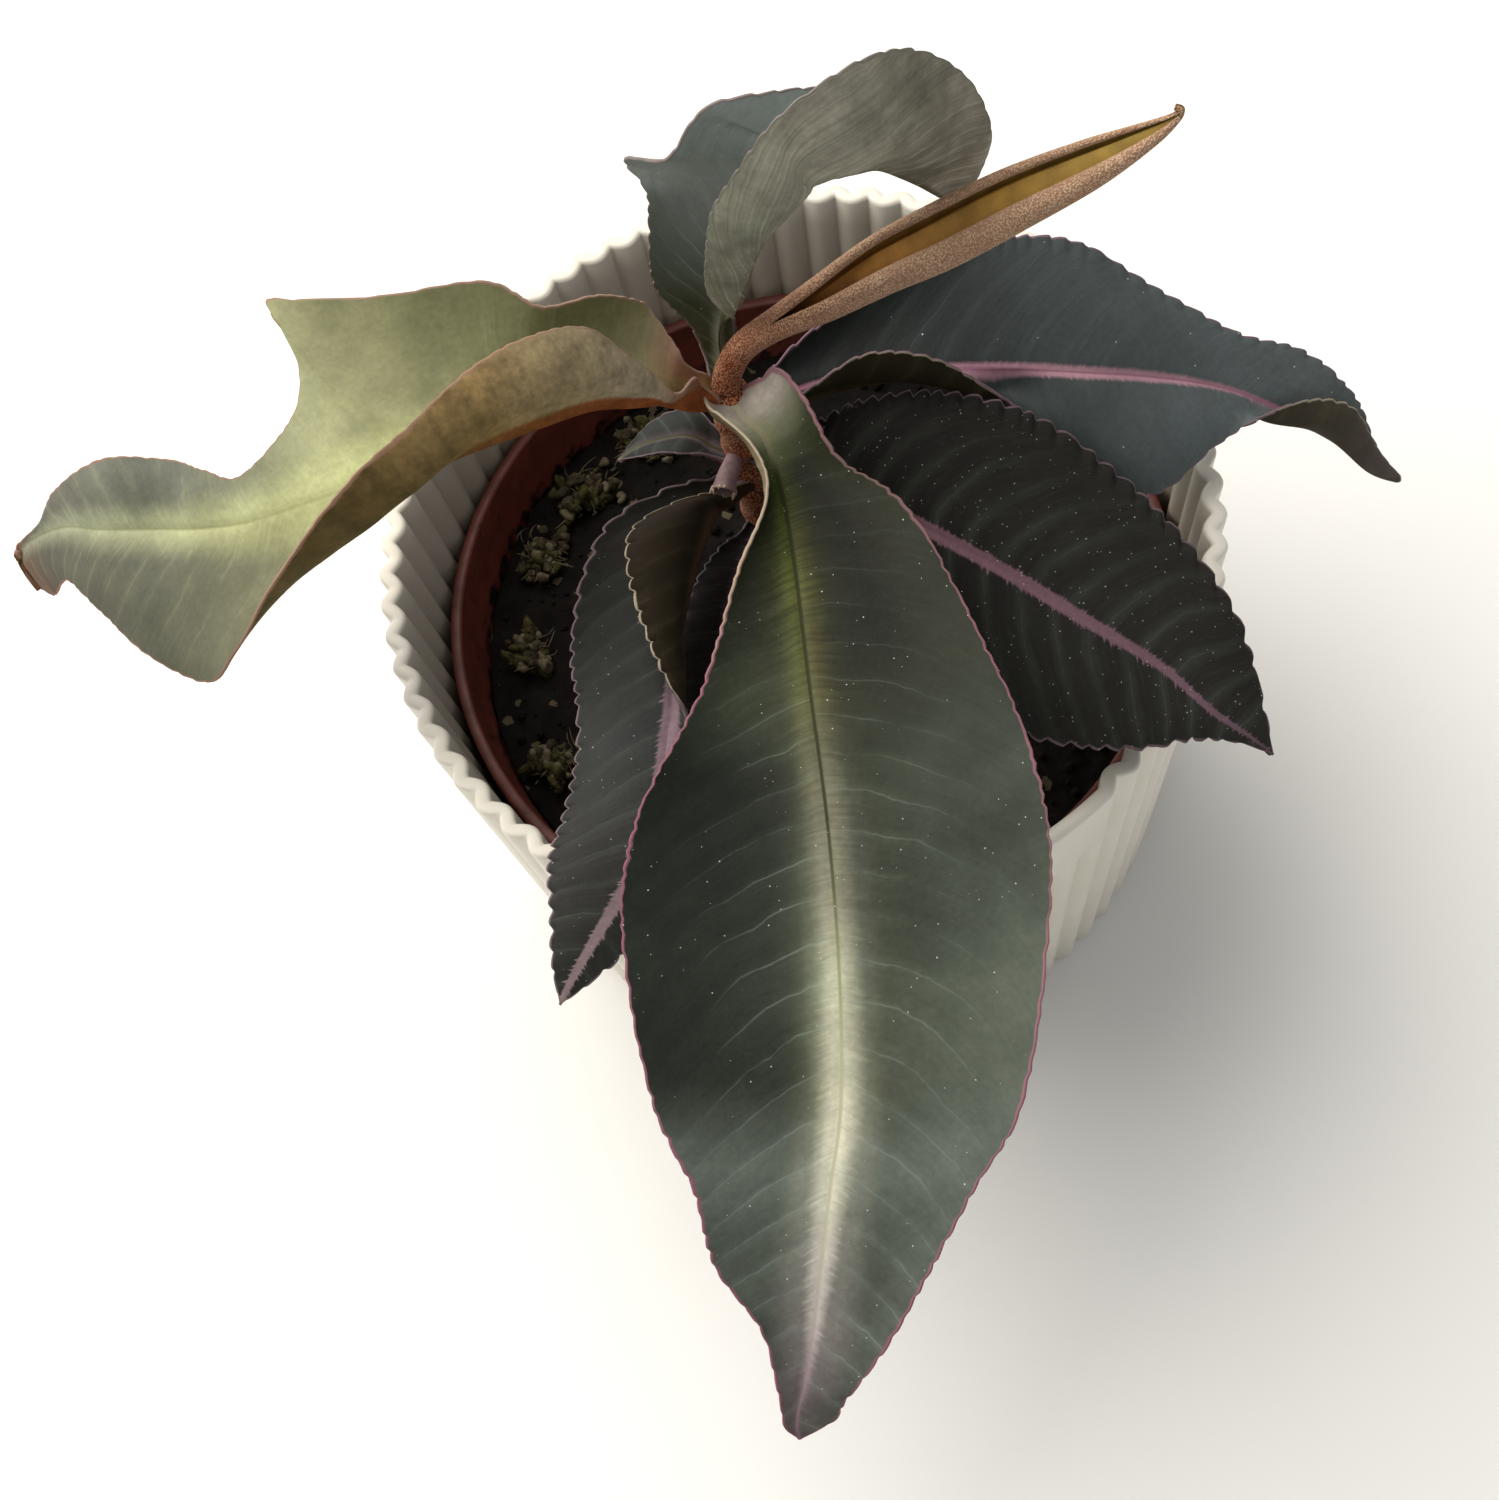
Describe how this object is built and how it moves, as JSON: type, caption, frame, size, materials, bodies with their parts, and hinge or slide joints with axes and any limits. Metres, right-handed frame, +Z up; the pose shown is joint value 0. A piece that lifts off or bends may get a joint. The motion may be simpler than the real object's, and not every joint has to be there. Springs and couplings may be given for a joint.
{
  "type": "potted labisia plant",
  "caption": "Young labisia: a rosette of broad toothed leaves on a short stem, in a red nursery pot standing inside a white ribbed outer pot.",
  "frame": {"origin": "centre of the outer pot's underside, on the surface it stands on", "axes": "+Z up along the pots' common axis; the largest leaf hangs towards -Y and the long pale leaf towards -X"},
  "size_m": [0.22, 0.2067, 0.1788],
  "materials": {
    "ivory_plastic": "moulded, satin",
    "red_polypropylene": "moulded, matt",
    "potting_soil": "crumbly, matt",
    "moss_and_perlite": "rough",
    "downy_stem": "downy",
    "green_blade": "satin leaf",
    "pale_blade": "satin leaf",
    "grey_blade": "satin leaf",
    "blue_green_blade": "satin leaf",
    "dark_blade": "satin leaf",
    "slate_blade": "satin leaf",
    "downy_young_leaf": "downy",
    "dried_petiole": "dry, matt",
    "bud_scale": "satin"
  },
  "bodies": {
    "root": {"outer_pot": "ivory_plastic", "nursery_pot": "red_polypropylene", "soil": "potting_soil", "moss_clump_1": "moss_and_perlite", "moss_clump_2": "moss_and_perlite", "moss_clump_3": "moss_and_perlite", "moss_clump_4": "moss_and_perlite", "moss_clump_5": "moss_and_perlite", "stem": "downy_stem", "leaf_front": "green_blade", "leaf_left": "pale_blade", "leaf_back": "grey_blade", "leaf_right_upper": "blue_green_blade", "leaf_right_lower": "dark_blade", "leaf_front_left": "slate_blade", "leaf_small_front": "dark_blade", "leaf_small_left": "slate_blade", "leaf_rolled": "downy_young_leaf", "petiole_stub": "dried_petiole", "axil_bud_1": "bud_scale", "axil_bud_2": "bud_scale"}
  },
  "joints": []
}
